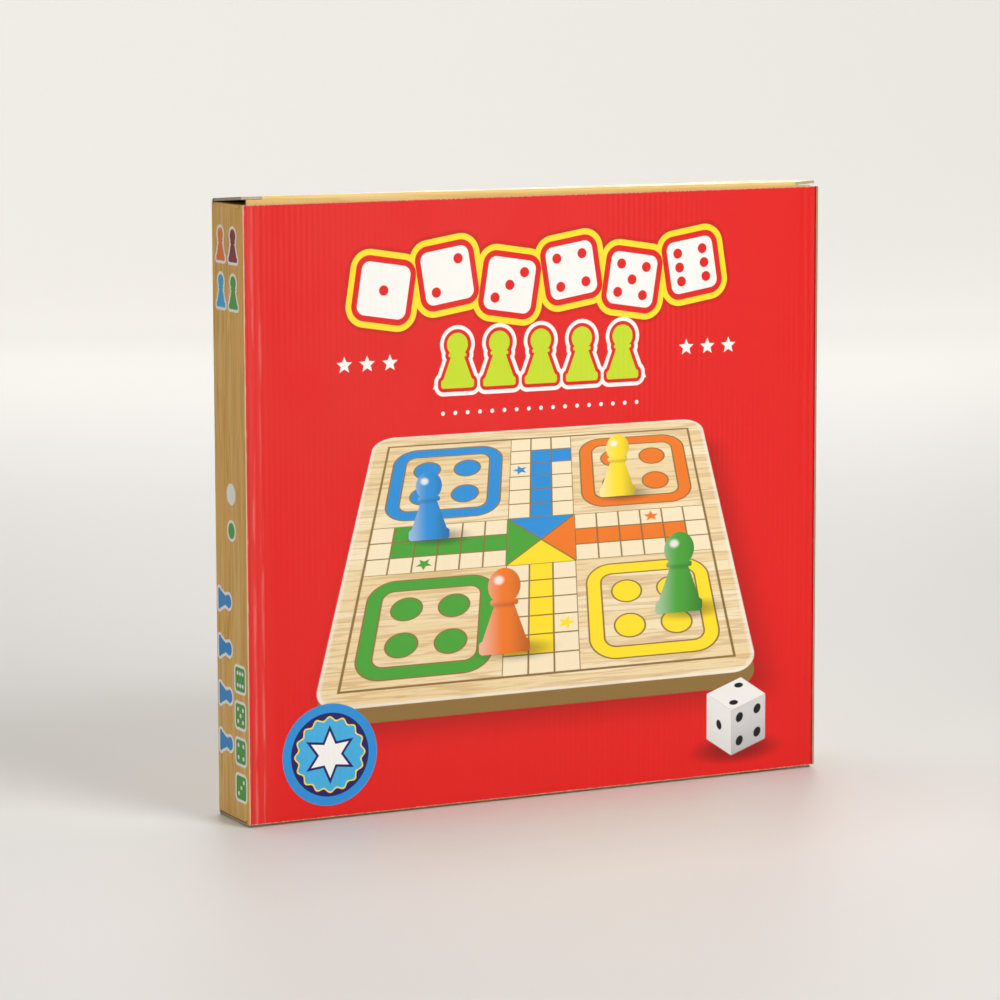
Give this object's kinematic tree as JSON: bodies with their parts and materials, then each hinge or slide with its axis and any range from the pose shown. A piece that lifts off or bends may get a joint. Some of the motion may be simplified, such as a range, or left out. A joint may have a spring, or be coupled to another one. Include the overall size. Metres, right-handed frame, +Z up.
{
  "type": "boxed ludo board game",
  "caption": "Flat upright tuck-end carton of printed corrugated card with hinged lids at both ends, holding a square wooden game board, a card fitment, pawns and a die.",
  "frame": {"origin": "middle of the carton's footprint, on the surface that the bottom lid stands on", "axes": "+Z up, front panel faces -Y, +X to the right seen from the front"},
  "size_m": [0.34, 0.041, 0.326],
  "materials": {
    "printed_card_red": "satin",
    "printed_card_yellow": "satin",
    "grey_card": "matte",
    "board_wood": "satin",
    "pawn_blue": "gloss",
    "pawn_yellow": "gloss",
    "pawn_green": "gloss",
    "pawn_orange": "gloss",
    "ivory_plastic": "gloss"
  },
  "bodies": {
    "carton": {"carton_sleeve": "printed_card_red", "playing_board": "board_wood", "card_fitment": "grey_card", "pawn_blue_1": "pawn_blue", "pawn_blue_2": "pawn_blue", "pawn_blue_3": "pawn_blue", "pawn_blue_4": "pawn_blue", "pawn_yellow_1": "pawn_yellow", "pawn_yellow_2": "pawn_yellow", "pawn_yellow_3": "pawn_yellow", "pawn_yellow_4": "pawn_yellow", "pawn_green_1": "pawn_green", "pawn_green_2": "pawn_green", "pawn_green_3": "pawn_green", "pawn_green_4": "pawn_green", "pawn_orange_1": "pawn_orange", "pawn_orange_2": "pawn_orange", "pawn_orange_3": "pawn_orange", "pawn_orange_4": "pawn_orange", "die": "ivory_plastic"},
    "top_lid": {"top_lid": "printed_card_yellow"},
    "top_tuck": {"top_tuck": "printed_card_yellow"},
    "top_dust_left": {"top_dust_left": "printed_card_yellow"},
    "top_dust_right": {"top_dust_right": "printed_card_yellow"},
    "bottom_lid": {"bottom_lid": "printed_card_yellow"},
    "bottom_tuck": {"bottom_tuck": "printed_card_yellow"},
    "bottom_dust_left": {"bottom_dust_left": "printed_card_yellow"},
    "bottom_dust_right": {"bottom_dust_right": "printed_card_yellow"}
  },
  "joints": [
    {"name": "top_lid_hinge", "type": "hinge", "parent": "carton", "child": "top_lid", "pos_m": [0, 0.02048, 0.3233], "axis": [-1, 0, 0], "range_deg": [-4, 131]},
    {"name": "top_tuck_hinge", "type": "hinge", "parent": "top_lid", "child": "top_tuck", "pos_m": [0, -0.01605, 0.3242], "axis": [1, 0, 0], "range_deg": [-1.8, 58.95]},
    {"name": "top_dust_left_hinge", "type": "hinge", "parent": "carton", "child": "top_dust_left", "pos_m": [-0.17, 0, 0.3215], "axis": [0, -1, 0], "range_deg": [-1.6, 52.4]},
    {"name": "top_dust_right_hinge", "type": "hinge", "parent": "carton", "child": "top_dust_right", "pos_m": [0.17, 0, 0.3215], "axis": [0, 1, 0], "range_deg": [-1.6, 52.4]},
    {"name": "bottom_lid_hinge", "type": "hinge", "parent": "carton", "child": "bottom_lid", "pos_m": [0, 0.02048, 0], "axis": [1, 0, 0], "range_deg": [0, 135]},
    {"name": "bottom_tuck_hinge", "type": "hinge", "parent": "bottom_lid", "child": "bottom_tuck", "pos_m": [0, -0.01602, 0.00165], "axis": [-1, 0, 0], "range_deg": [0, 60.75]},
    {"name": "bottom_dust_left_hinge", "type": "hinge", "parent": "carton", "child": "bottom_dust_left", "pos_m": [-0.17, 0, 0.0018], "axis": [0, 1, 0], "range_deg": [0, 54]},
    {"name": "bottom_dust_right_hinge", "type": "hinge", "parent": "carton", "child": "bottom_dust_right", "pos_m": [0.17, 0, 0.0018], "axis": [0, -1, 0], "range_deg": [0, 54]}
  ],
  "couplings": [
    {"joint": "top_tuck_hinge", "follows": "top_lid_hinge", "ratio": 0.45},
    {"joint": "top_dust_left_hinge", "follows": "top_lid_hinge", "ratio": 0.4},
    {"joint": "top_dust_right_hinge", "follows": "top_lid_hinge", "ratio": 0.4},
    {"joint": "bottom_tuck_hinge", "follows": "bottom_lid_hinge", "ratio": 0.45},
    {"joint": "bottom_dust_left_hinge", "follows": "bottom_lid_hinge", "ratio": 0.4},
    {"joint": "bottom_dust_right_hinge", "follows": "bottom_lid_hinge", "ratio": 0.4}
  ]
}
